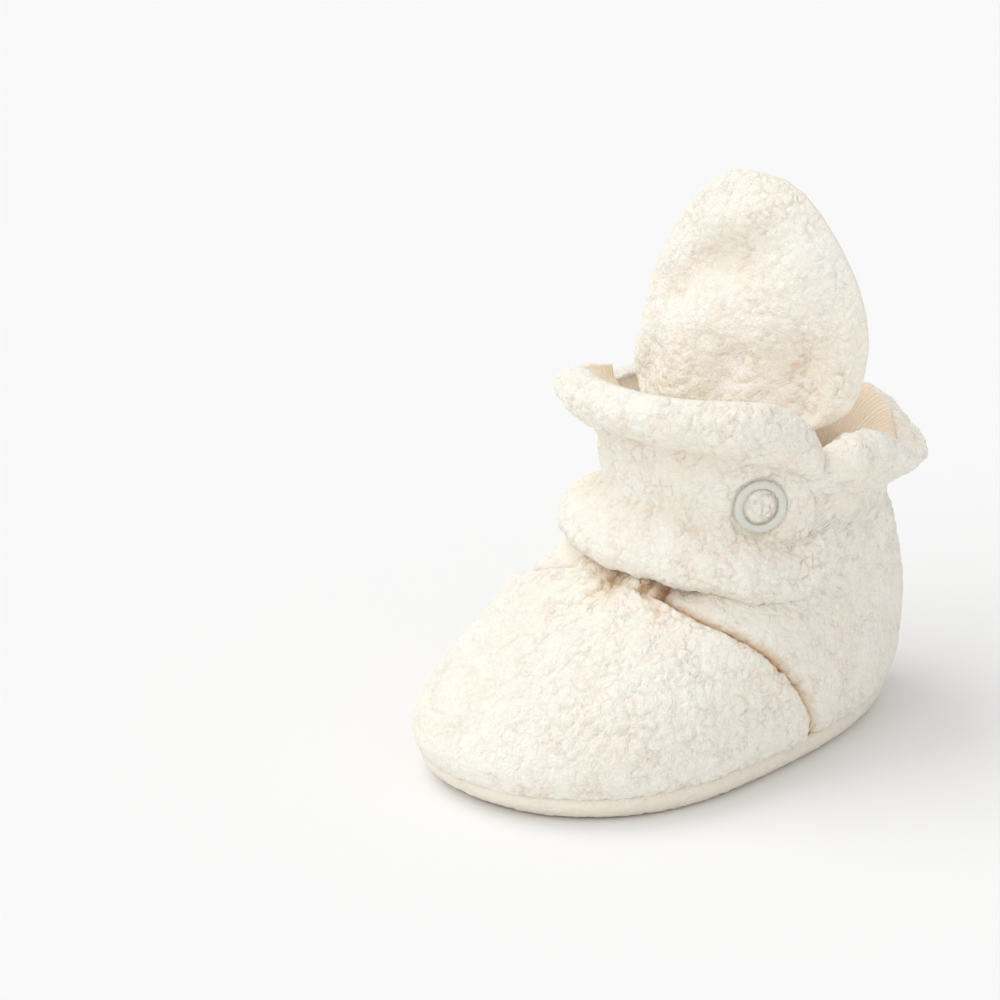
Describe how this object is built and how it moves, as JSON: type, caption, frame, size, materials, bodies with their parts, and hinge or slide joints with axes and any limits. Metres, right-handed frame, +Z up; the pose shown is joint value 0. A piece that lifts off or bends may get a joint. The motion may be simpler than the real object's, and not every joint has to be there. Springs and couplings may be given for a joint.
{
  "type": "baby bootie",
  "caption": "Soft fleece baby bootie with a tall rounded tongue, a flared ankle collar and a padded strap that folds open from the inner side and closes with a ring snap.",
  "frame": {"origin": "on the ground, on the middle line of the sole, about half way between toe and heel; the underside of the outsole lies in the plane z = 0", "axes": "+Z up, the toe points to -Y and the heel to +Y, +X is the outer side of the left foot, where the snap is"},
  "size_m": [0.068, 0.1092, 0.1073],
  "materials": {
    "fleece": "looped pile, soft and matt, cream",
    "jersey": "fine ribbed knit, matt, pale peach",
    "sole_cloth": "short brushed cloth, matt, cream",
    "wadding": "loose white fibre",
    "elastic_webbing": "ribbed woven elastic, white",
    "snap_enamel": "smooth pale grey enamel",
    "snap_steel": "plain pressed steel"
  },
  "bodies": {
    "root": {"outsole": "sole_cloth", "sole_padding": "wadding", "insole_lining": "jersey", "toe_shell": "fleece", "toe_lining": "jersey", "heel_shell": "fleece", "heel_lining": "jersey", "ankle_elastic": "elastic_webbing", "strap_root_shell": "fleece", "strap_root_lining": "jersey", "underlap_shell": "fleece", "underlap_lining": "jersey", "snap_stud": "snap_steel", "snap_back_ring": "snap_enamel", "tongue_root_shell": "fleece", "tongue_root_lining": "jersey"},
    "strap": {"strap_shell": "fleece", "strap_lining": "jersey", "snap_ring": "snap_enamel", "snap_socket": "snap_steel"},
    "tongue": {"tongue_shell": "fleece", "tongue_lining": "jersey"}
  },
  "joints": [
    {"name": "strap_fold", "type": "hinge", "parent": "root", "child": "strap", "pos_m": [-0.019, -0.0061, 0.053], "axis": [0, 0, -1], "range_deg": [0, 110]},
    {"name": "tongue_fold", "type": "hinge", "parent": "root", "child": "tongue", "pos_m": [0, 0.0106, 0.0602], "axis": [1, 0, 0], "range_deg": [-15, 55], "stiffness_Nm_per_rad": 0.02}
  ]
}
